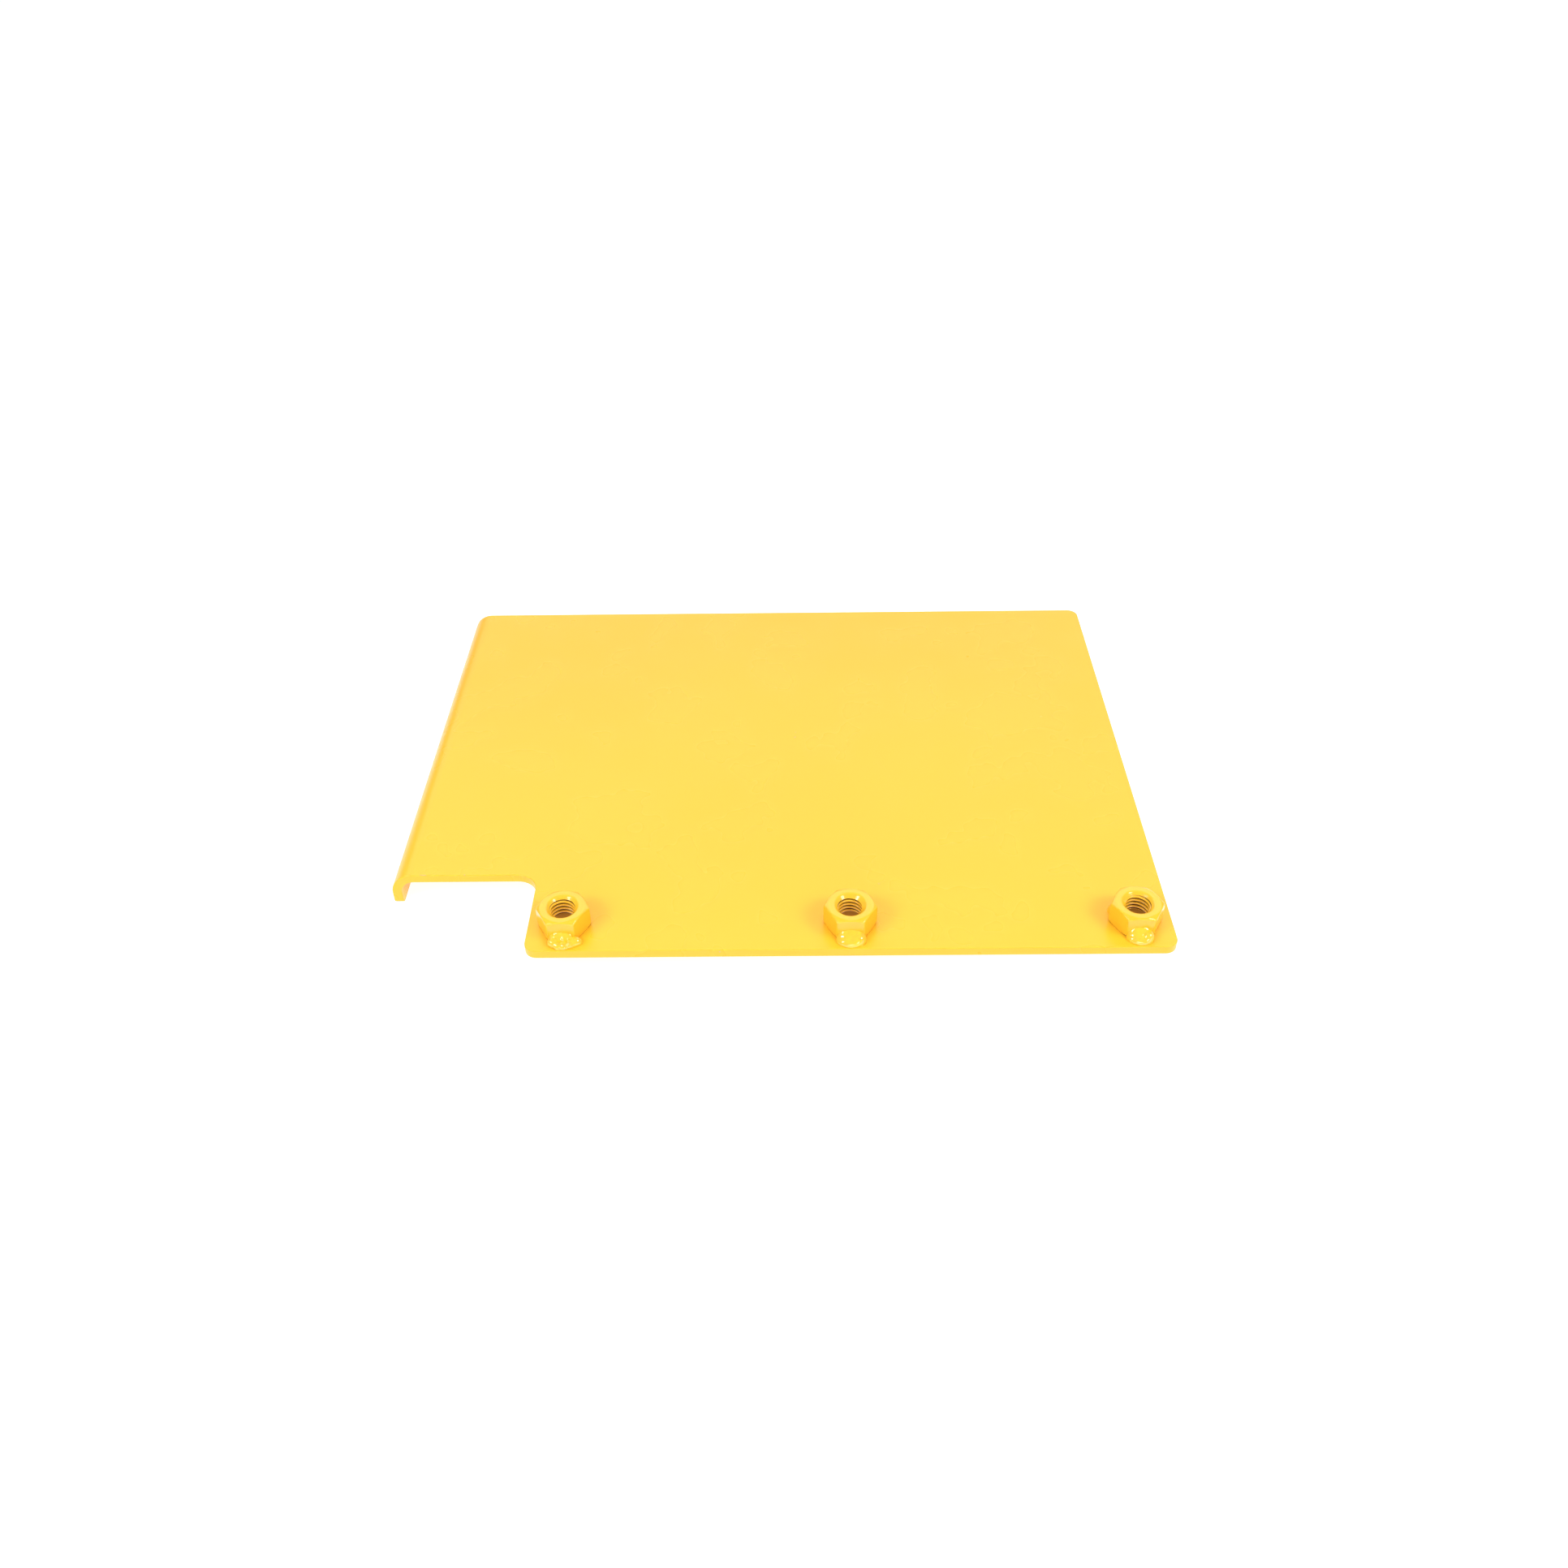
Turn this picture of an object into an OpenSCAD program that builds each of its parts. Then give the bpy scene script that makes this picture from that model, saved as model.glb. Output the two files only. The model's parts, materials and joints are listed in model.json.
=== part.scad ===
// A bent sheet-steel panel with three hexagon nuts tack-welded along its front edge.
// The panel lies flat in X and Y. Its left edge is bent down into a short flange, and a notch
// takes the front-left corner away, so that the front edge is a tab that carries the nuts.
// Origin: the centre of the footprint, level with the lower edge of the flange. +Z is up.

/* [Panel] */
// Overall width, from the outer face of the flange to the right edge
panel_w = 324; // [240:1:420]
// Overall depth, from the front edge of the tab to the rear edge
panel_d = 250; // [180:1:340]
// Thickness of the sheet
sheet_t = 4; // [2.5:0.5:5]
// Radius of the three free corners of the panel, seen from above
corner_r = 5; // [1:0.5:10]

/* [Flange] */
// Overall height, from the upper face of the panel to the lower edge of the flange
flange_h = 16; // [14:0.5:40]
// Inside radius of the bend between the panel and the flange
bend_r = 6; // [2:0.5:8]
// Radius of the two lower corners of the flange, seen from the side
flange_corner_r = 2; // [0.5:0.5:2.5]

/* [Notch] */
// Width of the notch, from the outer face of the flange to the side of the tab
notch_w = 63.5; // [40:0.5:90]
// Depth of the notch, from the front edge to the front end of the flange
notch_d = 44.5; // [32:0.5:70]
// Radius of the inner corner of the notch
notch_r = 9; // [2:0.5:12]

/* [Nuts] */
// Width across the flats of each nut
nut_af = 19; // [16:0.5:21]
// Height of each nut
nut_h = 10; // [8:0.5:13]
// Bore of each nut, which is the minor diameter of its thread
nut_bore_d = 10.1; // [8:0.1:10.5]
// Diameter of the countersunk mouth at both ends of the bore
nut_mouth_d = 13; // [11:0.5:14]
// Distance from each nut's axis to the front edge, and from the outer axes to the sides of the tab
nut_edge = 15; // [14:0.5:22]
// How far the centre nut is welded off its hole, to the right
nut_drift = 0.3; // [-0.5:0.1:0.5]
// Angle that the centre nut is turned by, against square to the front edge
nut_twist = -1.2; // [-5:0.1:5]
// Diameter of the clearance hole through the panel under each nut
hole_d = 14; // [12.5:0.5:14]

/* [Welds] */
// Width of the front tack weld of the left, centre and right nut
weld_w = [11, 11.4, 10.4]; // [7:0.1:13]
// Height of those tack welds up the front flat of the nut
weld_h = [5, 5.2, 5.4]; // [3:0.1:7]
// Distance from the nose of those tack welds to the front edge
weld_edge_gap = [0.2, 0.6, 0.5]; // [0.1:0.1:1.5]
// Width of the rear tack weld of the right nut
rear_weld_w = 5; // [3:0.5:8]
// Height of the rear tack weld
rear_weld_h = 6; // [3:0.5:7]
// Reach of the rear tack weld from the flat of the nut
rear_weld_reach = 2.4; // [1:0.1:5]
// Place of the rear tack weld along that flat, from its middle towards the left corner
rear_weld_slide = -1; // [-2:0.5:2]

/* [Hidden] */

// Spare length by which a cutting shape runs past the faces that it cuts
past = 1;
bend_outer_r = bend_r + sheet_t;
panel_under_z = flange_h - sheet_t;
// The footprint's front-left corner, as the panel is drawn with that corner at zero
corner_place = [-panel_w / 2, -panel_d / 2, 0];

// Places of the three clearance holes, from the front-left corner of the footprint
hole_pitch = (panel_w - notch_w - 2 * nut_edge) / 2;
hole_x = [for (i = [0:2]) notch_w + nut_edge + i * hole_pitch];
nut_x = [hole_x[0], hole_x[1] + nut_drift, hole_x[2]];
nut_angle = [0, nut_twist, 0];
flat_reach = nut_af / 2;

// The chamfer leaves a round face a little smaller than the flats, and slopes away at 30 degrees
nut_face_r = 0.95 * nut_af / 2;
nut_corner_r = nut_af / sqrt(3);
nut_chamfer_h = (nut_corner_r - nut_face_r) * tan(30);
// The mouth of the bore slopes at 45 degrees
mouth_depth = (nut_mouth_d - nut_bore_d) / 2;

// The rear tack weld sits on the rear-left flat
rear_flat_angle = 60;

paint = "#fbd24d";
bead_paint = "#fbdf52";
round_fn = 96;
bead_fn = 40;

// Side view of the sheet: the flat part, the bend and the flange. Drawn in X and Z.
module sheet_profile() {
    translate([bend_outer_r, panel_under_z]) square([panel_w - bend_outer_r, sheet_t]);
    square([sheet_t, flange_h - bend_outer_r]);
    intersection() {
        translate([0, flange_h - bend_outer_r]) square(bend_outer_r);
        translate([bend_outer_r, flange_h - bend_outer_r]) difference() {
            circle(r = bend_outer_r, $fn = round_fn);
            circle(r = bend_r, $fn = round_fn);
        }
    }
}

// What is cut away outside a rounded corner. The corner is at zero, and the metal is at +X and +Y.
module corner_cut(r, h) {
    difference() {
        translate([-past, -past, -past]) cube([r + past, r + past, h + 2 * past]);
        translate([r, r, -2 * past]) cylinder(r = r, h = h + 4 * past, $fn = round_fn);
    }
}

// The notch, with its inner corner rounded
module notch_cut() {
    translate([-past, -past, -past])
        cube([notch_w + past - notch_r, notch_d + past, flange_h + 2 * past]);
    translate([-past, -past, -past])
        cube([notch_w + past, notch_d + past - notch_r, flange_h + 2 * past]);
    translate([notch_w - notch_r, notch_d - notch_r, -past])
        cylinder(r = notch_r, h = flange_h + 2 * past, $fn = round_fn);
}

// The two rounded lower corners of the flange, cut across its thickness
module flange_corner_cuts() {
    translate([sheet_t, notch_d, 0]) rotate([0, -90, 0]) corner_cut(flange_corner_r, sheet_t);
    translate([0, panel_d, 0]) rotate([0, -90, 180]) corner_cut(flange_corner_r, sheet_t);
}

module panel() {
    color(paint) translate(corner_place) difference() {
        translate([0, panel_d, 0]) rotate([90, 0, 0]) linear_extrude(panel_d) sheet_profile();
        notch_cut();
        flange_corner_cuts();
        translate([notch_w, 0, 0]) corner_cut(corner_r, flange_h);
        translate([panel_w, 0, 0]) rotate([0, 0, 90]) corner_cut(corner_r, flange_h);
        translate([panel_w, panel_d, 0]) rotate([0, 0, 180]) corner_cut(corner_r, flange_h);
        for (x = hole_x) translate([x, nut_edge, panel_under_z - past])
            cylinder(d = hole_d, h = sheet_t + 2 * past, $fn = round_fn);
    }
}

// Puts its children at nut i, on the upper face of the panel, turned as that nut is
module at_nut(i) {
    translate(corner_place + [nut_x[i], nut_edge, flange_h]) rotate([0, 0, nut_angle[i]]) children();
}

// A hexagon with both ends chamfered, as the solid that a cone and a cylinder leave of the prism
module nut_blank() {
    intersection() {
        cylinder(r = nut_corner_r, h = nut_h, $fn = 6);
        rotate_extrude($fn = round_fn) polygon([
            [0, 0],
            [nut_face_r, 0],
            [nut_corner_r, nut_chamfer_h],
            [nut_corner_r, nut_h - nut_chamfer_h],
            [nut_face_r, nut_h],
            [0, nut_h]
        ]);
    }
}

// The bore and its two countersunk mouths, as one turned shape
module nut_bore() {
    rotate_extrude($fn = round_fn) polygon([
        [0, -past],
        [nut_mouth_d / 2 + past, -past],
        [nut_bore_d / 2, mouth_depth],
        [nut_bore_d / 2, nut_h - mouth_depth],
        [nut_mouth_d / 2 + past, nut_h + past],
        [0, nut_h + past]
    ]);
}

module nut(i) {
    color(paint) at_nut(i) difference() {
        nut_blank();
        nut_bore();
    }
}

// A quarter of an ellipsoid. Its flat back is at Y zero, its flat foot at Z zero, and it bulges to -Y.
module bead(width, reach, height) {
    intersection() {
        scale([width / 2, reach, height]) sphere(r = 1, $fn = bead_fn);
        translate([-width, -2 * reach, 0]) cube([2 * width, 2 * reach, 2 * height]);
    }
}

// The front tack weld of nut i, on its front flat and on the panel
module front_weld(i) {
    reach = nut_edge - flat_reach - weld_edge_gap[i];
    color(bead_paint) at_nut(i) translate([0, -flat_reach, 0]) bead(weld_w[i], reach, weld_h[i]);
}

module nut_left() { nut(0); }

module nut_centre() { nut(1); }

module nut_right() { nut(2); }

module weld_left() { front_weld(0); }

module weld_centre() { front_weld(1); }

module weld_right() { front_weld(2); }

module weld_right_rear() {
    color(bead_paint) at_nut(2) rotate([0, 0, 180 + rear_flat_angle])
        translate([rear_weld_slide, -flat_reach, 0])
            bead(rear_weld_w, rear_weld_reach, rear_weld_h);
}

panel();
nut_left();
nut_centre();
nut_right();
weld_left();
weld_centre();
weld_right();
weld_right_rear();
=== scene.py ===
import json
from math import atan2, cos, pi, radians, sin, tan

import bpy
import numpy as np
from mathutils import Matrix, Vector
from mathutils.geometry import delaunay_2d_cdt


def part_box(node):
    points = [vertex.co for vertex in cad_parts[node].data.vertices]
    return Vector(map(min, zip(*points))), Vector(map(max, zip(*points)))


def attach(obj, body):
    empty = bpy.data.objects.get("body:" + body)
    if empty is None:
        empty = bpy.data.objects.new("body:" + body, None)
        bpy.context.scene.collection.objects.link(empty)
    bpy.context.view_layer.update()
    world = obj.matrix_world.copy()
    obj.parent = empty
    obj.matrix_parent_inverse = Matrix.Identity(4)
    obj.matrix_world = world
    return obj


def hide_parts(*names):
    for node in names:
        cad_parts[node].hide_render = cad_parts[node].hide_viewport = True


# A yellow sheet-steel panel with one edge bent into a flange, a notch in the corner in front of
# the flange, and three hexagon nuts tack-welded along its front edge.
# Everything is in metres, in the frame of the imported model: +Z is up and -Y is the front.

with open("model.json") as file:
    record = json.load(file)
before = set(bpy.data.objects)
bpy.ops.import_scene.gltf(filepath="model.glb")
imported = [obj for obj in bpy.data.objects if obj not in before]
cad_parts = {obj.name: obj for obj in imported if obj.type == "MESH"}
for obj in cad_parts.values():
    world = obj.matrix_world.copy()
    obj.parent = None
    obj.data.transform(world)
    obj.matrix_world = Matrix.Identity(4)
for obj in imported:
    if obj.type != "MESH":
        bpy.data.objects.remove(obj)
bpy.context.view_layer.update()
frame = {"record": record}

MM = 0.001

# ---------------------------------------------------------------- sizes taken from the frame

mounts = {m["name"]: m for m in frame["record"]["mounts"]}
panel_low, panel_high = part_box("panel")
nut_low, nut_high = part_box("nut_left")

top_z = panel_high.z
sheet = top_z - mounts["underside"]["pos_m"][2]
nut_height = nut_high.z - nut_low.z
apothem = (nut_high.y - nut_low.y) / 2
thread_r = mounts["thread_left"]["dims"]["r_mm"] * MM

# ---------------------------------------------------------------- sizes the frame does not give

# Panel
BEND_R = 10 * MM            # outer radius of the bend
CORNER_R = 5 * MM           # free corners, seen from above
FLANGE_CORNER_R = 2 * MM    # lower corners of the flange
NOTCH_W = 63.5 * MM
NOTCH_D = 44.5 * MM
NOTCH_R = 9 * MM
HOLE_R = 7 * MM             # clearance hole under each nut
NUT_PITCH_SPARE = 0.3 * MM  # the centre nut sits this much to the right of its hole
EDGE_R = 0.35 * MM          # paint rounds the edges of the sheet

# Nuts
PITCH = 1.75 * MM
THREAD_DEPTH = 0.95 * MM
MOUTH_R = 6.5 * MM
FILLED_DEPTH = 0.9 * MM     # paint fills the thread this far down each mouth
FACE_R = 0.95 * apothem     # round face inside the upper chamfers
CHAMFER = radians(30)
FOOT_R = 0.985 * apothem    # the same under the nut, where paint fills most of the chamfers
FOOT_CHAMFER = radians(18)
NUT_CORNER_R = 0.9 * MM     # paint rounds the six upright corners
NUT_EDGE_R = 0.7 * MM       # and the edges of the faces
MOUTH_EDGE_R = 0.9 * MM     # and the upper mouth
MOUTH_LOW_R = 0.3 * MM      # and the lower one
THREAD_PAINT = 0.3 * MM     # paint on the crests of the thread
FADE_DEPTH = 0.6 * MM       # below the filled stretch the thread reaches its full depth over this

# Beads
BEAD_SUNK = 0.06 * MM       # how far each bead is sunk into its nut and the panel

CENTRE_TURN = radians(-1.2)  # the centre nut stands a little askew


# ---------------------------------------------------------------- mesh helpers

def grid_faces(rows, columns, wrap_rows=False, wrap_columns=False):
    """Quads of a grid whose points run column by column within each row."""
    r = np.arange(rows if wrap_rows else rows - 1)[:, None]
    c = np.arange(columns if wrap_columns else columns - 1)[None, :]
    r_next = (r + 1) % rows
    c_next = (c + 1) % columns
    corners = [r * columns + c, r * columns + c_next, r_next * columns + c_next, r_next * columns + c]
    return np.stack(np.broadcast_arrays(*corners), axis=-1).reshape(-1, 4)


def new_piece(name, points, faces, material, node, normals=None, values=None):
    """Makes a smooth-shaded piece that rides on the root body in the place of a CAD node."""
    mesh = bpy.data.meshes.new(name)
    mesh.from_pydata(points.tolist(), [], faces)
    mesh.polygons.foreach_set("use_smooth", np.ones(len(mesh.polygons), dtype=bool))
    for label, value in (values or {}).items():
        layer = mesh.attributes.new(label, "FLOAT", "POINT")
        layer.data.foreach_set("value", value.astype(np.float32))
    mesh.materials.append(material)
    mesh.update()
    if normals is not None:
        mesh.normals_split_custom_set_from_vertices(normals.tolist())
    piece = bpy.data.objects.new(name, mesh)
    bpy.context.scene.collection.objects.link(piece)
    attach(piece, "root")
    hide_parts(node)
    return piece


def unit(vectors):
    """Vectors brought to length one."""
    return vectors / np.linalg.norm(vectors, axis=-1, keepdims=True)


# ---------------------------------------------------------------- panel

# The panel is drawn as the flat blank it was cut from. s runs across the blank along the outer
# face: it is zero where the bend begins, positive on the flat and negative on bend and flange.
bend_x = panel_low.x + BEND_R
bend_length = BEND_R * pi / 2
leg_length = top_z - BEND_R - panel_low.z
s_flange = -bend_length - leg_length
s_notch = NOTCH_W - BEND_R
s_right = panel_high.x - bend_x
y_front = panel_low.y
y_rear = panel_high.y
y_notch = y_front + NOTCH_D


def rolled(s, y, depth):
    """Rolls the blank over the bend. The turn is -s / radius, kept between none and a quarter. A point
    at some depth under the outer face sits on the bend's circle less that depth, then goes on along
    the flat by what s has above zero, or down the flange by what it has below the bend."""
    turn = np.clip(-s / BEND_R, 0, pi / 2)
    flat = np.maximum(s, 0)
    leg = np.maximum(-s - bend_length, 0)
    radius = BEND_R - depth
    x = bend_x + flat - radius * np.sin(turn)
    z = top_z - BEND_R - leg + radius * np.cos(turn)
    return np.stack(np.broadcast_arrays(x, y, z), axis=-1)


def rolled_direction(s, across, along, inward):
    """Turns a direction of the blank as rolled() turns the place: across follows the sheet, along is Y,
    and inward points from the outer face into the metal."""
    turn = np.clip(-s / BEND_R, 0, pi / 2)
    x = across * np.cos(turn) + inward * np.sin(turn)
    z = across * np.sin(turn) - inward * np.cos(turn)
    return np.stack(np.broadcast_arrays(x, along, z), axis=-1)


def rounded_outline(corners, step):
    """A closed outline through corners given as (s, y, radius), in order round the metal. Each corner is
    an arc that touches both sides, and each straight stretch is split at the step. Returns the points
    and the directions that point out of the metal, a quarter turn right of the way round."""
    points = []
    for i, (s, y, radius) in enumerate(corners):
        here = np.array([s, y])
        before = np.array(corners[i - 1][:2]) - here
        after = np.array(corners[(i + 1) % len(corners)][:2]) - here
        before = before / np.linalg.norm(before)
        after = after / np.linalg.norm(after)
        centre = here + radius * (before + after)
        from_centre = -after * radius
        to_centre = -before * radius
        t = np.linspace(0, pi / 2, 13)[:, None]
        arc = centre + from_centre * np.cos(t) + to_centre * np.sin(t)
        if points:
            gap = arc[0] - points[-1][-1]
            count = max(int(np.linalg.norm(gap) / step), 1)
            share = np.arange(1, count)[:, None] / count
            points.append(points[-1][-1] + gap * share)
        points.append(arc)
    gap = points[0][0] - points[-1][-1]
    count = max(int(np.linalg.norm(gap) / step), 1)
    points.append(points[-1][-1] + gap * np.arange(1, count)[:, None] / count)
    outline = np.concatenate([p for p in points if len(p)])
    return outline, right_of_way(outline)


def right_of_way(loop):
    """At each point of a closed loop, the direction a quarter turn right of the way through it."""
    way = unit(np.roll(loop, -1, axis=0) - loop) + unit(loop - np.roll(loop, 1, axis=0))
    way = unit(way)
    return np.stack([way[:, 1], -way[:, 0]], axis=-1)


def hole_outline(s, y):
    """A clearance hole, run through clockwise so that the metal is on its left."""
    t = np.linspace(0, 2 * pi, 97)[:-1]
    loop = np.stack([s + HOLE_R * np.cos(t), y - HOLE_R * np.sin(t)], axis=-1)
    return loop, right_of_way(loop)


def within(points, starts, ends):
    """True for the points from which a line towards +s crosses the edges of closed loops an odd number of
    times. Each edge runs from one of the starts to the end beside it."""
    s, y = points[:, :1], points[:, 1:]
    rise = ends[:, 1] - starts[:, 1]
    spans = (starts[:, 1] > y) != (ends[:, 1] > y)
    share = (y - starts[:, 1]) / np.where(rise == 0, 1, rise)
    crossing = starts[:, 0] + share * (ends[:, 0] - starts[:, 0])
    return np.sum(spans & (s < crossing), axis=1) % 2 == 1


def edge_profile():
    """Section of the sheet's edge, from the outer face round to the inner one: how far it lies inside the
    outline, how deep, and its normal outwards and inwards. Both edges are quarter circles."""
    t = np.linspace(0, pi / 2, 6)
    inset = EDGE_R * (1 - np.sin(t))
    depth = EDGE_R * (1 - np.cos(t))
    rows_in = np.concatenate([[2 * EDGE_R], inset, inset[::-1], [2 * EDGE_R]])
    rows_deep = np.concatenate([[0], depth, sheet - depth[::-1], [sheet]])
    out = np.concatenate([[0], np.sin(t), np.sin(t)[::-1], [0]])
    down = np.concatenate([[-1], -np.cos(t), np.cos(t)[::-1], [1]])
    return rows_in, rows_deep, out, down


def build_panel(material):
    """Carries the edge profile round the outline and round each hole of the blank, fills both faces with
    the same triangles, and rolls the whole over the bend. The walls of the holes are marked as bare, and
    their brown is partly bare steel and partly painted shade."""
    corners = [
        (s_notch, y_front, CORNER_R),
        (s_right, y_front, CORNER_R),
        (s_right, y_rear, CORNER_R),
        (s_flange, y_rear, FLANGE_CORNER_R),
        (s_flange, y_notch, FLANGE_CORNER_R),
        (s_notch, y_notch, NOTCH_R),
    ]
    holes = []
    for name in ("thread_left", "thread_centre", "thread_right"):
        x, y = mounts[name]["pos_m"][:2]
        drift = NUT_PITCH_SPARE if name == "thread_centre" else 0
        holes.append((x - drift - bend_x, y))
    step = 1.2 * MM
    loops = [rounded_outline(corners, step)]
    loops += [hole_outline(*hole) for hole in holes]

    rows_in, rows_deep, out, down = edge_profile()
    places, normals, bare_and_shade, quads, tops, bottoms, rings, ring_edges = [], [], [], [], [], [], [], []
    base = 0
    for loop, away in loops:
        count = len(loop)
        inner = loop[None] - away[None] * rows_in[:, None, None]
        place = rolled(inner[..., 0], inner[..., 1], rows_deep[:, None])
        normal = rolled_direction(
            inner[..., 0],
            out[:, None] * away[None, :, 0],
            out[:, None] * away[None, :, 1],
            down[:, None],
        )
        places.append(place.reshape(-1, 3))
        normals.append(normal.reshape(-1, 3))
        # The hole walls are marked for their brown: partly bare steel, partly painted shade
        in_hole = np.broadcast_to(rings != [] and rows_deep[:, None] > 0, place.shape[:2])
        bare_and_shade.append(in_hole.ravel() * 1.0)
        quads.append(grid_faces(len(rows_in), count, wrap_columns=True)[:, ::-1] + base)
        around = np.arange(count)
        ring_edges.append(np.stack([around, (around + 1) % count], axis=-1) + sum(map(len, rings)))
        rings.append(inner[0])
        tops.append(base + around)
        bottoms.append(base + (len(rows_in) - 1) * count + around)
        base += len(rows_in) * count

    # Points inside the faces: fine lines across the bend, coarse ones on the flat
    spacing = 8 * MM
    margin = 2.5 * MM
    bend_lines = -np.linspace(bend_length, 0, 17)
    leg_line = np.array([-bend_length - leg_length / 2])
    flat_lines = np.arange(spacing, s_right, spacing)
    s, y = np.meshgrid(
        np.concatenate([leg_line, bend_lines, flat_lines]),
        np.arange(y_front + spacing / 2, y_rear, spacing),
    )
    lattice = np.stack([s.ravel(), y.ravel()], axis=-1)
    starts = np.concatenate(rings)
    ends = np.concatenate([np.roll(ring, -1, axis=0) for ring in rings])
    gap = np.linalg.norm(lattice[:, None] - starts[None], axis=-1).min(axis=1)
    inside = lattice[(gap > margin) & within(lattice, starts, ends)]

    flat_points = np.concatenate([starts, inside])
    found = delaunay_2d_cdt(flat_points.tolist(), np.concatenate(ring_edges).tolist(), [], 0, 1e-9, True)
    triangles = np.concatenate(found[3])[np.array(found[2])]
    a, b, c = (flat_points[triangles[:, k]] for k in range(3))
    area = (b[:, 0] - a[:, 0]) * (c[:, 1] - a[:, 1]) - (b[:, 1] - a[:, 1]) * (c[:, 0] - a[:, 0])
    triangles = np.where(area[:, None] > 0, triangles, triangles[:, ::-1])
    triangles = triangles[within((a + b + c) / 3, starts, ends)]

    for depth, inward, face in ((0, -1, tops), (sheet, 1, bottoms)):
        places.append(rolled(inside[:, 0], inside[:, 1], depth))
        normals.append(rolled_direction(inside[:, 0], 0, 0, np.full(len(inside), inward)))
        bare_and_shade.append(np.zeros(len(inside)))
        face.append(base + np.arange(len(inside)))
        base += len(inside)
    top = np.concatenate(tops)
    bottom = np.concatenate(bottoms)
    faces = np.concatenate(quads).tolist() + top[triangles].tolist() + bottom[triangles[:, ::-1]].tolist()
    return new_piece("painted_panel", np.concatenate(places), faces, material, "panel",
                     normals=np.concatenate(normals), values={"bare_and_shade": np.concatenate(bare_and_shade)})


# ---------------------------------------------------------------- nuts

def hexagon_radius(theta):
    """Distance from the axis to the side of the hexagon. From each corner's direction, a side lies at the
    apothem divided by the cosine of the angle from that side's middle, and within the rounding the
    distance is that to a circle of the corner's radius, set so that it touches both sides."""
    from_corner = (theta + pi / 6) % (pi / 3) - pi / 6
    side = apothem / np.cos(pi / 6 - np.abs(from_corner))
    centre = (apothem - NUT_CORNER_R) / cos(pi / 6)
    half_angle = atan2(NUT_CORNER_R / 2, centre + NUT_CORNER_R * cos(pi / 6))
    chord = np.sqrt(np.maximum(NUT_CORNER_R**2 - (centre * np.sin(from_corner)) ** 2, 0))
    return np.where(np.abs(from_corner) < half_angle, centre * np.cos(from_corner) + chord, side)


def rounded(before, corner, after, reach, steps=5):
    """A corner of a section rounded as a quadratic curve that leaves both sides the same distance away,
    less on a short side. Returns its points and the directions along it."""
    back = before - corner
    on = after - corner
    back_length = np.linalg.norm(back, axis=-1, keepdims=True)
    on_length = np.linalg.norm(on, axis=-1, keepdims=True)
    reach = np.minimum(reach, 0.45 * np.minimum(back_length, on_length))
    start = corner + back / back_length * reach
    end = corner + on / on_length * reach
    t = np.linspace(0, 1, steps + 1)[:, None, None]
    points = (1 - t) ** 2 * start + 2 * t * (1 - t) * corner + t**2 * end
    ways = (1 - t) * (corner - start) + t * (end - corner)
    return points, ways


def bore_radius(theta, z, phase):
    """Radius of the bore at an angle and a height: the thread's minor radius and, where the height in
    pitches less the angle in turns is near a whole number, a V groove whose sides slope at 60 degrees to
    each other, or the 45 degree cone of either mouth where that is wider. Near the mouths the groove
    fades, as if filled with paint. Also gives the groove's share of its full depth."""
    turn = z / PITCH - theta / (2 * pi) + phase
    from_groove = np.abs(turn - np.round(turn)) * PITCH
    half_open = 3 / 8 * PITCH
    share = np.clip((half_open - from_groove) / tan(pi / 6) / THREAD_DEPTH, 0, 1)
    from_end = np.minimum(z, nut_height - z)
    clear = np.clip((from_end - FILLED_DEPTH) / FADE_DEPTH, 0, 1)
    groove = share * share * (3 - 2 * share) * clear
    threaded = thread_r - THREAD_PAINT + THREAD_DEPTH * groove
    lower_cone = MOUTH_R - z
    upper_cone = MOUTH_R - (nut_height - z)
    return np.maximum(threaded, np.maximum(lower_cone, upper_cone)), groove


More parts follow.
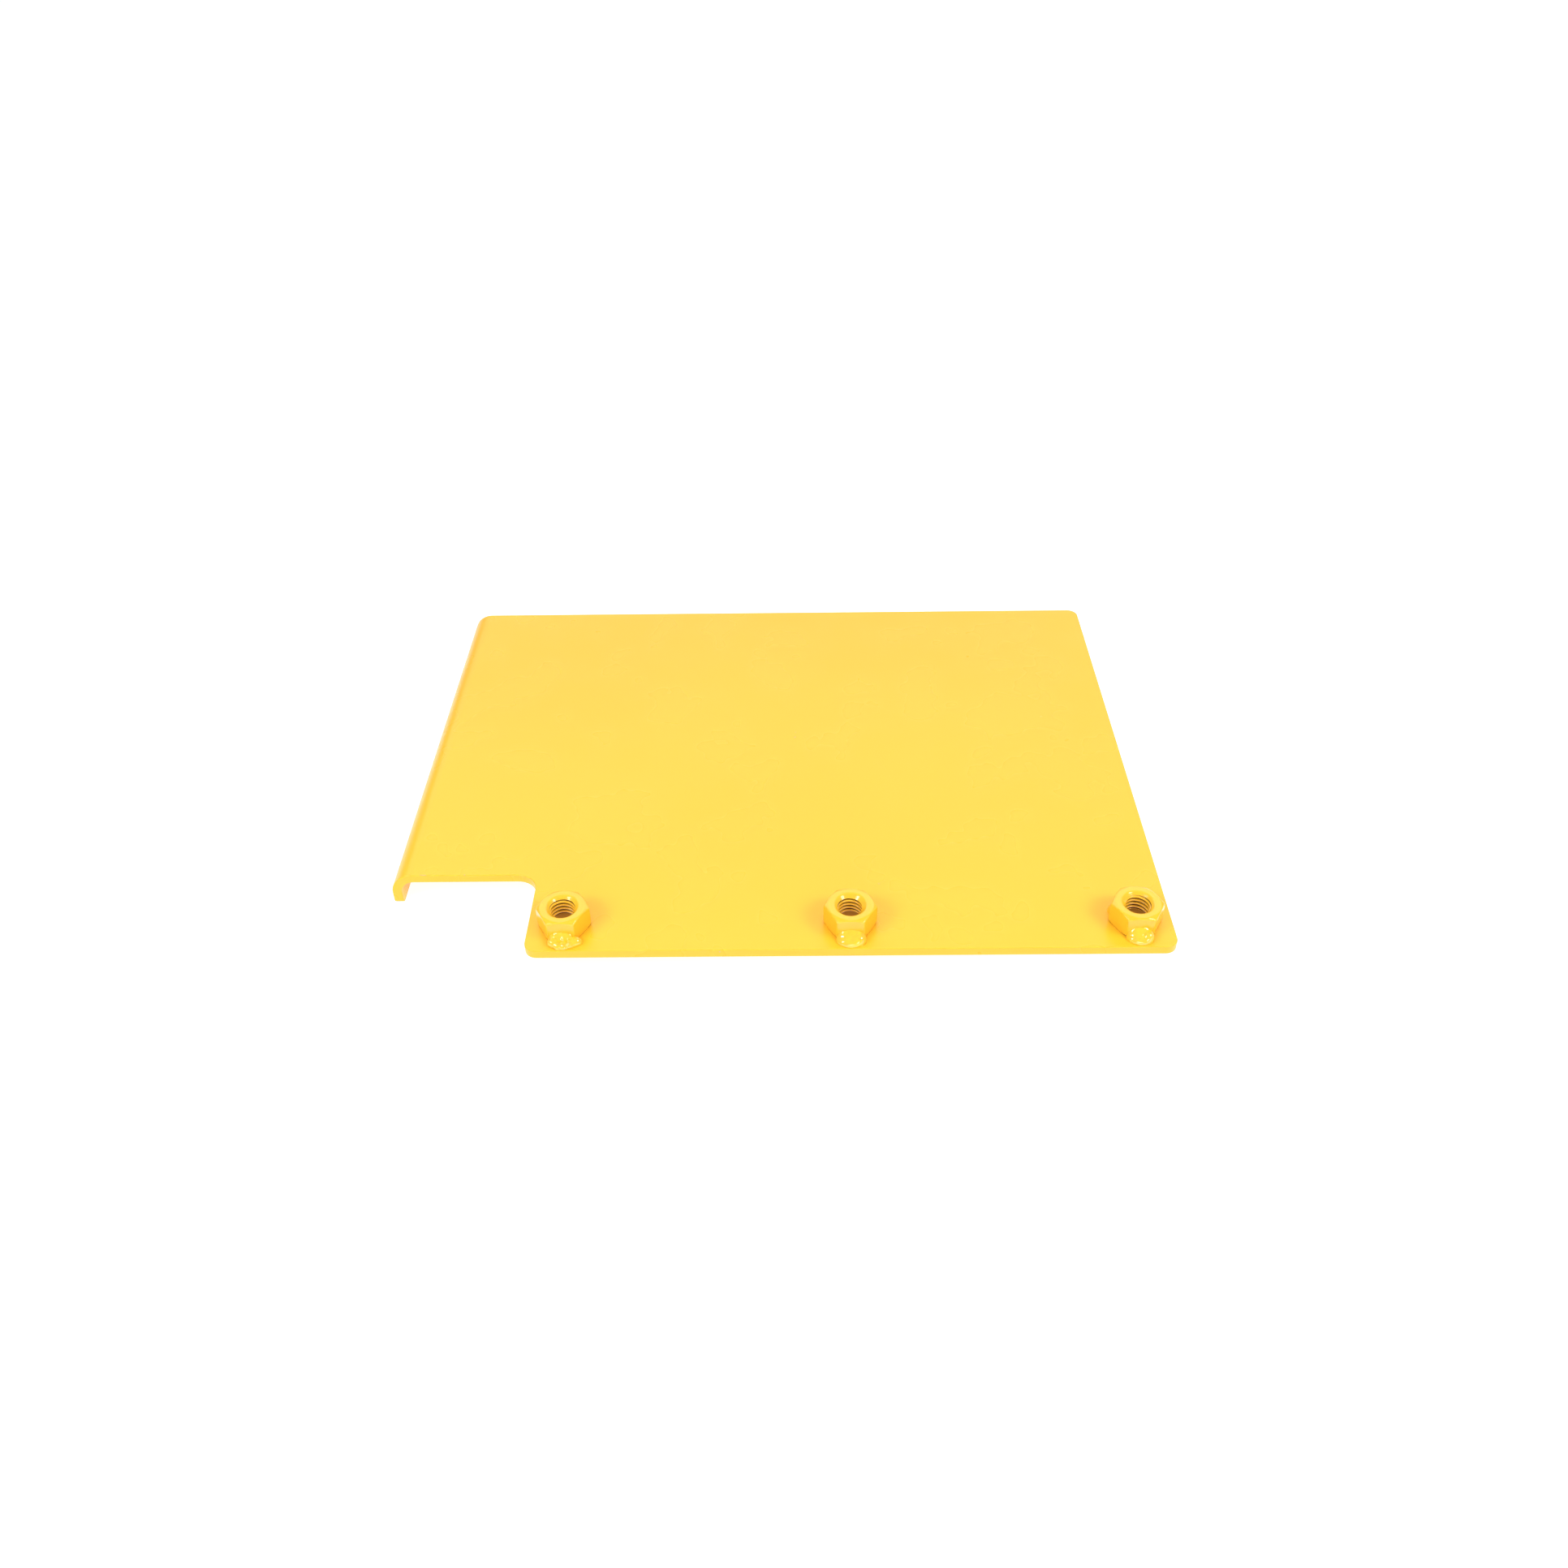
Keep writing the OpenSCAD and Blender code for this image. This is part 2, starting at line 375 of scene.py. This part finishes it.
def nut_section(theta, phase):
    """The nut's section at each angle, from the lower mouth out along the foot, up the side, in over the top
    face and down the bore: radius and height, the directions along it, and how bare it is. Under the foot
    this value is painted shade, and in the thread grooves it is partly bare steel and partly painted shade."""
    side = hexagon_radius(theta)
    rise = (side - FOOT_R) * tan(FOOT_CHAMFER)
    fall = (side - FACE_R) * tan(CHAMFER)
    full = np.full_like(side, 1)
    mouth_low = np.stack([MOUTH_R * full, 0 * full], axis=-1)
    foot = np.stack([FOOT_R * full, 0 * full], axis=-1)
    low = np.stack([side, rise], axis=-1)
    high = np.stack([side, nut_height - fall], axis=-1)
    face = np.stack([FACE_R * full, nut_height * full], axis=-1)
    mouth_high = np.stack([MOUTH_R * full, nut_height * full], axis=-1)
    cone = np.array([-1, 1]) * MM
    corners = [mouth_low + cone, mouth_low, foot, low, high, face, mouth_high, mouth_high - MM]
    reaches = [MOUTH_LOW_R, NUT_EDGE_R, NUT_EDGE_R, NUT_EDGE_R, NUT_EDGE_R, MOUTH_EDGE_R]
    parts = [rounded(*corners[k:k + 3], reach) for k, reach in enumerate(reaches)]
    points = [p for p, way in parts]
    ways = [way for p, way in parts]
    # Under the nut the value is painted shade, fading out up the bottom chamfer, for the dark line at the
    # foot
    shares = [(1, 1), (1, 1), (1, 0), (0, 0), (0, 0), (0, 0)]
    bare_and_shade = [np.linspace(*share, len(p))[:, None] + 0 * p[..., 0] for p, share in zip(points, shares)]

    # The bore, from just under the rounded upper mouth to just above the lower one
    rows_per_turn = 24
    rows = int(nut_height / PITCH * rows_per_turn)
    start = points[-1][-1, 0, 1]
    end = points[0][0, 0, 1]
    z = np.linspace(start, end, rows)[1:-1, None]
    radius, groove = bore_radius(theta, z, phase)
    slope = np.gradient(radius, z[:, 0], axis=0)
    points.append(np.stack([radius, z + 0 * radius], axis=-1))
    ways.append(np.stack([-slope, -1 + 0 * slope], axis=-1))
    # In the grooves the value is partly bare steel and partly painted shade
    bare_and_shade.append(groove)
    return np.concatenate(points), unit(np.concatenate(ways)), np.concatenate(bare_and_shade)


def build_nut(side, turn, phase, material):
    """Carries the nut's section round its axis. The columns stand closer together at the corners of the
    hexagon, and the section's ends meet, so the skin is closed like a ring."""
    per_side = 32
    t = np.linspace(-1, 1, per_side + 1)[:-1]
    spread = 0.35 * t + 0.65 * t**3
    theta = (np.arange(6)[:, None] * pi / 3 + spread[None] * pi / 6).ravel()
    small = 1e-5
    points, ways, bare_and_shade = nut_section(theta, phase)
    ahead = nut_section(theta + small, phase)[0]
    behind = nut_section(theta - small, phase)[0]
    change = (ahead - behind) / (2 * small)

    c = np.cos(theta + turn)
    s = np.sin(theta + turn)
    radius = points[..., 0]
    around = np.stack([change[..., 0] * c - radius * s, change[..., 0] * s + radius * c, change[..., 1]], -1)
    along = np.stack([ways[..., 0] * c, ways[..., 0] * s, ways[..., 1]], -1)
    normals = unit(np.cross(around, along)).reshape(-1, 3)
    low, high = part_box("nut_" + side)
    x, y = mounts["thread_" + side]["pos_m"][:2]
    places = np.stack([x + radius * c, y + radius * s, low.z + points[..., 1]], -1).reshape(-1, 3)
    faces = grid_faces(points.shape[0], len(theta), wrap_rows=True, wrap_columns=True).tolist()
    return new_piece("painted_nut_" + side, places, faces, material, "nut_" + side,
                     normals=normals, values={"bare_and_shade": bare_and_shade.ravel()})


# ---------------------------------------------------------------- weld beads

def body_reach(directions, half):
    """How far a ray from the bead's root goes inside its body: a fillet whose section is nearly a straight
    slope from nut to panel, and whose ends are round. The section is a power curve of exponent 1.25 and
    the ends join it with exponent 2.3."""
    share = np.abs(directions) / half
    section = (share[..., 1] ** 1.25 + share[..., 2] ** 1.25) ** (1 / 1.25)
    return (section ** 2.3 + share[..., 0] ** 2.3) ** (-1 / 2.3)


def lobe_reach(directions, centre, half):
    """How far a ray from the bead's root goes until it leaves an ellipsoid, or zero if it misses it."""
    a = np.sum((directions / half) ** 2, axis=-1)
    b = np.sum(directions * centre / half**2, axis=-1)
    c = np.sum((centre / half) ** 2) - 1
    root = b * b - a * c
    return np.where(root > 0, np.maximum((b + np.sqrt(np.maximum(root, 0))) / a, 0), 0)


def build_bead(name, node, root, out, half, lobes, limits, lump, phase, material):
    """A bead of weld metal as one dome round its root, the line where the nut meets the panel. Each
    direction's radius is the 12th root of the sum of the body's and the lobes' reaches to the 12th
    power, which blends them, times one plus a little of products of sine waves. The result is held
    inside the limits and sunk a little into nut and panel."""
    rings = 96
    spokes = 48
    polar = np.linspace(0, pi, rings + 1)[1:-1, None]
    tilt = np.linspace(0, pi / 2, spokes)[None, :]
    directions = np.stack(np.broadcast_arrays(
        np.cos(polar), np.sin(polar) * np.cos(tilt), np.sin(polar) * np.sin(tilt)), axis=-1)
    ends = np.array([[1.0, 0, 0], [-1.0, 0, 0]])

    def reach(d):
        total = body_reach(d, np.array(half) * MM) ** 12
        total = total + sum(lobe_reach(d, np.array(c) * MM, np.array(h) * MM) ** 12 for c, h in lobes)
        wave = np.sin(9 * d[..., 0] + 2.1 * phase) * np.sin(7 * d[..., 1] + phase)
        wave = wave + 0.6 * np.sin(13 * d[..., 2] + 3 * phase) * np.sin(15 * d[..., 0] - phase)
        return (total ** (1 / 12) * (1 + lump * wave))[..., None] * d

    dome = reach(directions)
    axis = dome[:, :1] * [1, 0, 0]
    tips = reach(ends)
    rows = np.concatenate([axis, dome], axis=1)
    local = np.concatenate([rows.reshape(-1, 3), tips])
    local = np.clip(local, limits[0], limits[1])
    sunk = BEAD_SUNK
    across = np.array([-out[1], out[0], 0])
    forward = np.array([out[0], out[1], 0])
    places = np.array(root) + local[:, :1] * across + (local[:, 1:2] - sunk) * forward
    places[:, 2] += local[:, 2] - sunk

    loop = spokes + 1
    quads = grid_faces(len(rows), loop, wrap_columns=True)
    column = np.arange(loop)
    after = (column + 1) % loop
    last = (len(rows) - 1) * loop
    first_tip = np.full(loop, len(local) - 2)
    last_tip = np.full(loop, len(local) - 1)
    fans = np.concatenate([
        np.stack([first_tip, after, column], axis=-1),
        np.stack([last_tip, last + column, last + after], axis=-1),
    ])
    faces = quads.tolist() + fans.tolist()
    return new_piece(name, places, faces, material, node)


# ---------------------------------------------------------------- materials

def start_material(name):
    """A new material, its nodes, its links and its Principled shader."""
    material = bpy.data.materials.new(name)
    material.use_nodes = True
    nodes = material.node_tree.nodes
    links = material.node_tree.links
    return material, nodes, links, nodes["Principled BSDF"]


def noise(nodes, links, scale, detail=2.0, roughness=0.5):
    """A noise pattern on Object coordinates."""
    place = nodes.new("ShaderNodeTexCoord")
    pattern = nodes.new("ShaderNodeTexNoise")
    pattern.inputs["Scale"].default_value = scale
    pattern.inputs["Detail"].default_value = detail
    pattern.inputs["Roughness"].default_value = roughness
    links.new(place.outputs["Object"], pattern.inputs["Vector"])
    return pattern.outputs["Fac"]


def ranged(nodes, links, value, low, high, to_low, to_high):
    """A value brought smoothly from one range to another."""
    node = nodes.new("ShaderNodeMapRange")
    node.interpolation_type = "SMOOTHSTEP"
    for label, number in (("From Min", low), ("From Max", high), ("To Min", to_low), ("To Max", to_high)):
        node.inputs[label].default_value = number
    links.new(value, node.inputs["Value"])
    return node.outputs["Result"]


def mixed(nodes, links, share, first, second):
    """A colour between two others. Each is a colour or the output of a node."""
    node = nodes.new("ShaderNodeMix")
    node.data_type = "RGBA"
    links.new(share, node.inputs["Factor"])
    for label, colour in (("A", first), ("B", second)):
        socket = [s for s in node.inputs if s.name == label and s.type == "RGBA"][0]
        if isinstance(colour, tuple):
            socket.default_value = (*colour, 1)
        else:
            links.new(colour, socket)
    return [s for s in node.outputs if s.type == "RGBA"][0]


def bumped(nodes, links, height, strength, distance, before=None):
    """Bump from a height pattern, on top of an earlier bump if there is one."""
    node = nodes.new("ShaderNodeBump")
    node.inputs["Strength"].default_value = strength
    node.inputs["Distance"].default_value = distance
    links.new(height, node.inputs["Height"])
    if before is not None:
        links.new(before, node.inputs["Normal"])
    return node.outputs["Normal"]


def patch(nodes, links, centre, angle, size, solid=0.55):
    """One over an ellipsoid of the given half sizes, up to its solid share, then fading to zero."""
    place = nodes.new("ShaderNodeTexCoord")
    mapping = nodes.new("ShaderNodeMapping")
    mapping.vector_type = "TEXTURE"
    mapping.inputs["Location"].default_value = centre
    mapping.inputs["Rotation"].default_value = (0, 0, angle)
    mapping.inputs["Scale"].default_value = size
    length = nodes.new("ShaderNodeVectorMath")
    length.operation = "LENGTH"
    links.new(place.outputs["Object"], mapping.inputs["Vector"])
    links.new(mapping.outputs["Vector"], length.inputs[0])
    return ranged(nodes, links, length.outputs["Value"], solid, 1, 1, 0)


def bare_and_shade_share(nodes, links):
    """How bare a piece's vertices say that its metal is, and how much painted shade they carry."""
    bare_and_shade = nodes.new("ShaderNodeAttribute")
    bare_and_shade.attribute_name = "bare_and_shade"
    return ranged(nodes, links, bare_and_shade.outputs["Fac"], 0.1, 0.9, 0, 1)


def summed(nodes, links, first, second):
    """The sum of two values."""
    node = nodes.new("ShaderNodeMath")
    node.operation = "ADD"
    links.new(first, node.inputs[0])
    links.new(second, node.inputs[1])
    return node.outputs["Value"]


YELLOW = (0.97, 0.51, 0.024)
YELLOW_DEEP = (0.965, 0.50, 0.022)
BEAD_YELLOW = (0.97, 0.56, 0.022)
# Brown of the thread grooves and the nut's foot: partly bare steel, partly painted shade
BARE_AND_SHADE_BROWN = (0.09, 0.045, 0.006)
# Brown of the clearance holes' walls: partly bare steel, partly painted shade
HOLE_BARE_AND_SHADE_BROWN = (0.45, 0.22, 0.04)
CHIP = (0.66, 0.42, 0.17)
# Painted shade: a dark ring on the panel round each nut's foot, where the gap under the nut lies in shade
NUT_FOOT_PAINTED_SHADE = (0.22, 0.11, 0.01)
NUT_FOOT_PAINTED_SHADE_R = 9.7 * MM        # painted shade darkens the panel round each nut's foot out to here


def panel_paint():
    """Gloss paint on the sheet, with faint cloudiness, a few chips and specks, and a ring of painted shade
    round the foot of each nut.
    """
    material, nodes, links, shader = start_material("panel_gloss_yellow")
    cloud = ranged(nodes, links, noise(nodes, links, 9, 0), 0.3, 0.7, 0, 1)
    colour = mixed(nodes, links, cloud, YELLOW, YELLOW_DEEP)
    marks = [
        ((-147.4, -80.15, 16), -0.06, (1.9, 0.28, 0.6)),
        ((-129.7, -80.2, 16), 0.3, (0.45, 0.3, 0.5)),
        ((10.4, 14.0, 16), 0.9, (0.75, 0.32, 0.5)),
        ((10.8, 17.8, 16), 1.2, (0.35, 0.25, 0.5)),
        ((44.9, -87.6, 16), 0.2, (0.4, 0.35, 0.5)),
        ((-20.2, -125, 15.0), 0.0, (0.45, 0.5, 0.35)),
    ]
    for centre, angle, size in marks:
        share = patch(nodes, links, Vector(centre) * MM, angle, Vector(size) * MM)
        colour = mixed(nodes, links, share, colour, CHIP)
    # A ring of painted shade round the foot of each nut
    for name in ("thread_left", "thread_centre", "thread_right"):
        x, y = mounts[name]["pos_m"][:2]
        around = patch(nodes, links, (x, y, top_z), 0, Vector((NUT_FOOT_PAINTED_SHADE_R, NUT_FOOT_PAINTED_SHADE_R, 2 * MM)), 0.97)
        colour = mixed(nodes, links, around, colour, NUT_FOOT_PAINTED_SHADE)
    bare_and_shade = bare_and_shade_share(nodes, links)
    # Brown hole walls: partly bare steel, partly painted shade
    colour = mixed(nodes, links, bare_and_shade, colour, HOLE_BARE_AND_SHADE_BROWN)
    links.new(ranged(nodes, links, bare_and_shade, 0, 1, 0.5, 0), shader.inputs["Specular IOR Level"])
    links.new(colour, shader.inputs["Base Color"])
    gloss = ranged(nodes, links, noise(nodes, links, 40, 2), 0.3, 0.7, 0.26, 0.32)
    links.new(gloss, shader.inputs["Roughness"])
    return material


def nut_paint():
    """The same paint, thicker and glossier on the nuts. It turns brown in the thread grooves, partly as thin
    paint on bare steel and partly as painted shade, and under the foot as painted shade.
    """
    material, nodes, links, shader = start_material("nut_gloss_yellow")
    cloud = ranged(nodes, links, noise(nodes, links, 60, 3), 0.35, 0.65, 0, 1)
    colour = mixed(nodes, links, cloud, YELLOW, YELLOW_DEEP)
    bare_and_shade = bare_and_shade_share(nodes, links)
    # Brown in the grooves and under the foot: partly bare steel, partly painted shade
    colour = mixed(nodes, links, bare_and_shade, colour, BARE_AND_SHADE_BROWN)
    links.new(colour, shader.inputs["Base Color"])
    gloss = ranged(nodes, links, noise(nodes, links, 150, 2), 0.3, 0.7, 0.14, 0.22)
    dulled = ranged(nodes, links, bare_and_shade, 0, 1, 0, 0.4)
    links.new(summed(nodes, links, gloss, dulled), shader.inputs["Roughness"])
    links.new(ranged(nodes, links, bare_and_shade, 0, 1, 0.4, 0), shader.inputs["Coat Weight"])
    links.new(ranged(nodes, links, bare_and_shade, 0, 1, 0.5, 0.1), shader.inputs["Specular IOR Level"])
    shader.inputs["Coat Roughness"].default_value = 0.05
    runs = bumped(nodes, links, noise(nodes, links, 330, 2), 0.25, 0.08 * MM)
    links.new(runs, shader.inputs["Normal"])
    return material


def weld_paint():
    """Paint over weld metal: thick, wet-looking, and drawn over small ripples."""
    material, nodes, links, shader = start_material("weld_gloss_yellow")
    cloud = ranged(nodes, links, noise(nodes, links, 250, 3), 0.35, 0.65, 0, 1)
    colour = mixed(nodes, links, cloud, BEAD_YELLOW, YELLOW)
    links.new(colour, shader.inputs["Base Color"])
    gloss = ranged(nodes, links, noise(nodes, links, 500, 2), 0.3, 0.7, 0.1, 0.16)
    links.new(gloss, shader.inputs["Roughness"])
    shader.inputs["Specular IOR Level"].default_value = 0.2
    shader.inputs["Coat Weight"].default_value = 1.0
    shader.inputs["Coat IOR"].default_value = 1.9
    shader.inputs["Coat Roughness"].default_value = 0.08
    ripples = bumped(nodes, links, noise(nodes, links, 700, 2), 0.35, 0.12 * MM)
    links.new(ripples, shader.inputs["Normal"])
    return material


# ---------------------------------------------------------------- the object

sheet_paint = panel_paint()
hex_paint = nut_paint()
bead_paint = weld_paint()

build_panel(sheet_paint)
build_nut("left", 0, 0.35, hex_paint)
build_nut("centre", CENTRE_TURN, 0.7, hex_paint)
build_nut("right", 0, 0.1, hex_paint)

FRONT = (0, -1)


def foot_of(side):
    """The middle of a nut's front flat, where it meets the panel."""
    x, y = mounts["thread_" + side]["pos_m"][:2]
    return (x, y - apothem, top_z)


def front_limits(reach, half=9 * MM, rise=6 * MM):
    """Lowest and highest local place that a front bead may reach."""
    return np.array([-half, 0, 0]), np.array([half, reach, rise])


reach_to_edge = foot_of("left")[1] - y_front

build_bead(
    "painted_weld_left", "weld_left", foot_of("left"), FRONT,
    (5.3, 3.0, 5.0),  # half width, reach and height, and below centres and half sizes of lobes, in mm
    [
        ((5.4, 1.1, 0.6), (3.0, 2.2, 2.5)),
        ((-3.0, 1.6, 0.9), (2.6, 2.4, 2.2)),
        ((-1.0, 2.7, 0.5), (2.2, 2.5, 2.0)),
        ((1.5, 2.8, 0.6), (2.1, 2.4, 1.9)),
        ((4.0, 2.1, 0.7), (2.0, 2.3, 2.1)),
    ],
    front_limits(reach_to_edge), 0.015, 0.4, bead_paint)
build_bead(
    "painted_weld_centre", "weld_centre", foot_of("centre"), FRONT,
    (5.7, 3.6, 5.2),
    [
        ((0, 1.3, 0.3), (5.8, 3.7, 2.9)),
        ((3.1, 1.2, 1.3), (2.6, 2.7, 2.6)),
    ],
    front_limits(reach_to_edge), 0.005, 1.3, bead_paint)
build_bead(
    "painted_weld_right", "weld_right", foot_of("right"), FRONT,
    (5.3, 3.6, 5.4),
    [
        ((0.2, 1.4, 0.4), (5.1, 3.5, 2.8)),
        ((2.8, 1.4, 1.7), (2.3, 2.6, 2.6)),
    ],
    front_limits(reach_to_edge), 0.010, 2.2, bead_paint)

rear_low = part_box("weld_right_rear")[0]
nut_x, nut_y = mounts["thread_right"]["pos_m"][:2]
rear_out = (-cos(pi / 6), sin(pi / 6))
rear_side = (-rear_out[1], rear_out[0])
rear_slide = -1 * MM  # along the flat, from its middle towards the nut's left corner
rear_root = (
    nut_x + rear_out[0] * apothem + rear_side[0] * rear_slide,
    nut_y + rear_out[1] * apothem + rear_side[1] * rear_slide,
    rear_low.z,
)
build_bead(
    "painted_weld_right_rear", "weld_right_rear", rear_root, rear_out,
    (2.5, 2.5, 6.1),
    [],
    (np.array([-2.6, 0, 0]) * MM, np.array([2.6, 2.6, 6.2]) * MM), 0.01, 0.9, bead_paint)

# ---------------------------------------------------------------- stage

# The panel tips onto the lower edge of its flange and its right lower edge, so the floor leans
# to touch both. It is a backlit sheet of white acrylic, and under the panel its glow is turned down as a
# painted shadow.
floor_rise = mounts["underside"]["pos_m"][2]
floor_slope = floor_rise / (panel_high.x - panel_low.x)
floor_half = 2.5
floor_x = np.array([-floor_half, floor_half, floor_half, -floor_half])
floor_y = np.array([-floor_half, -floor_half, floor_half, floor_half])
floor_clear = 0.02 * MM
floor_z = (floor_x - panel_low.x) * floor_slope - floor_clear
floor_mesh = bpy.data.meshes.new("floor")
floor_mesh.from_pydata(np.stack([floor_x, floor_y, floor_z], -1).tolist(), [], [(0, 1, 2, 3)])
floor = bpy.data.objects.new("floor", floor_mesh)
bpy.context.scene.collection.objects.link(floor)
acrylic, acrylic_nodes, acrylic_links, acrylic_shader = start_material("backlit_acrylic")
acrylic_shader.inputs["Base Color"].default_value = (0.3, 0.3, 0.3, 1)
acrylic_shader.inputs["Roughness"].default_value = 0.6
acrylic_shader.inputs["Emission Color"].default_value = (1, 1, 1, 1)
PAINTED_SHADOW_GLOW = 0.25
OPEN_GLOW = 0.9
glow_place = acrylic_nodes.new("ShaderNodeTexCoord")
glow_mapping = acrylic_nodes.new("ShaderNodeMapping")
glow_mapping.vector_type = "TEXTURE"
under_front = y_notch + 18 * MM  # the floor in front of this is seen through the notch
glow_mapping.inputs["Location"].default_value = (0, (under_front + y_rear) / 2, 0)
glow_mapping.inputs["Scale"].default_value = (panel_high.x, (y_rear - under_front) / 2, 1)
acrylic_links.new(glow_place.outputs["Object"], glow_mapping.inputs["Vector"])
glow_axes = acrylic_nodes.new("ShaderNodeSeparateXYZ")
acrylic_links.new(glow_mapping.outputs["Vector"], glow_axes.inputs["Vector"])
glow_sides = []
for axis in ("X", "Y"):
    outward = acrylic_nodes.new("ShaderNodeMath")
    outward.operation = "ABSOLUTE"
    acrylic_links.new(glow_axes.outputs[axis], outward.inputs[0])
    glow_sides.append(outward.outputs["Value"])
farthest = acrylic_nodes.new("ShaderNodeMath")
farthest.operation = "MAXIMUM"
acrylic_links.new(glow_sides[0], farthest.inputs[0])
acrylic_links.new(glow_sides[1], farthest.inputs[1])
# Painted shadow: the floor's glow falls under the panel
glow = ranged(acrylic_nodes, acrylic_links, farthest.outputs["Value"], 0.9, 0.98, PAINTED_SHADOW_GLOW, OPEN_GLOW)
acrylic_links.new(glow, acrylic_shader.inputs["Emission Strength"])
floor_mesh.materials.append(acrylic)

world = bpy.data.worlds.new("studio")
world.use_nodes = True
world.node_tree.nodes["Background"].inputs["Color"].default_value = (1, 1, 1, 1)
world.node_tree.nodes["Background"].inputs["Strength"].default_value = 0.3
bpy.context.scene.world = world

aim = Vector((0, -0.05, top_z))


def softbox(name, azimuth, elevation, distance, width, height, radiance, glossy=True):
    """A rectangular studio light that faces the object. Azimuth is from straight in front, to the right.
    Its power is pi times its area times its radiance. One that is not glossy shows in no reflection."""
    data = bpy.data.lights.new(name, "AREA")
    data.shape = "RECTANGLE"
    data.size = width
    data.size_y = height
    data.energy = pi * width * height * radiance
    a = radians(azimuth)
    e = radians(elevation)
    away = Vector((sin(a) * cos(e), -cos(a) * cos(e), sin(e)))
    light = bpy.data.objects.new(name, data)
    facing = away.to_track_quat("Z", "Y").to_matrix().to_4x4()
    light.matrix_world = Matrix.Translation(aim + away * distance) @ facing
    light.visible_camera = False
    light.visible_glossy = glossy
    bpy.context.scene.collection.objects.link(light)
    return light


softbox("left_softbox", -54, 40, 1.0, 0.6, 0.6, 2.9, glossy=False)
softbox("right_softbox", 62, 40, 1.0, 0.6, 0.6, 2.6, glossy=False)
softbox("left_lamp", -54, 40, 0.95, 0.24, 0.24, 10)
softbox("right_lamp", 62, 40, 0.95, 0.24, 0.24, 11)
softbox("overhead_softbox", 0, 78, 1.4, 1.0, 0.8, 2.45, glossy=False)
softbox("low_strip", 0, 14, 1.0, 0.6, 0.07, 9)
softbox("rear_sweep", 180, 40, 1.9, 3.0, 1.4, 1.2)

# ---------------------------------------------------------------- camera

CAMERA_PLACE = (0.01009, -0.50100, 0.40717)
CAMERA_PITCH = radians(39.1869)
CAMERA_YAW = radians(-0.5787)
CAMERA_ROLL = radians(-0.8381)
CAMERA_LENS_MM = 31.21
SENSOR_MM = 36

forward = Vector((
    sin(CAMERA_YAW) * cos(CAMERA_PITCH),
    cos(CAMERA_YAW) * cos(CAMERA_PITCH),
    -sin(CAMERA_PITCH),
))
level_right = Vector((cos(CAMERA_YAW), -sin(CAMERA_YAW), 0))
level_up = level_right.cross(forward)
camera_right = level_right * cos(CAMERA_ROLL) + level_up * sin(CAMERA_ROLL)
camera_up = level_up * cos(CAMERA_ROLL) - level_right * sin(CAMERA_ROLL)
camera_data = bpy.data.cameras.new("camera")
camera_data.lens = CAMERA_LENS_MM
camera_data.sensor_width = SENSOR_MM
camera_data.clip_start = 0.01
camera_data.clip_end = 20
camera = bpy.data.objects.new("camera", camera_data)
camera_turn = Matrix((camera_right, camera_up, -forward)).transposed().to_4x4()
camera.matrix_world = Matrix.Translation(CAMERA_PLACE) @ camera_turn
bpy.context.scene.collection.objects.link(camera)
bpy.context.scene.camera = camera
bpy.context.scene.view_settings.view_transform = "Standard"
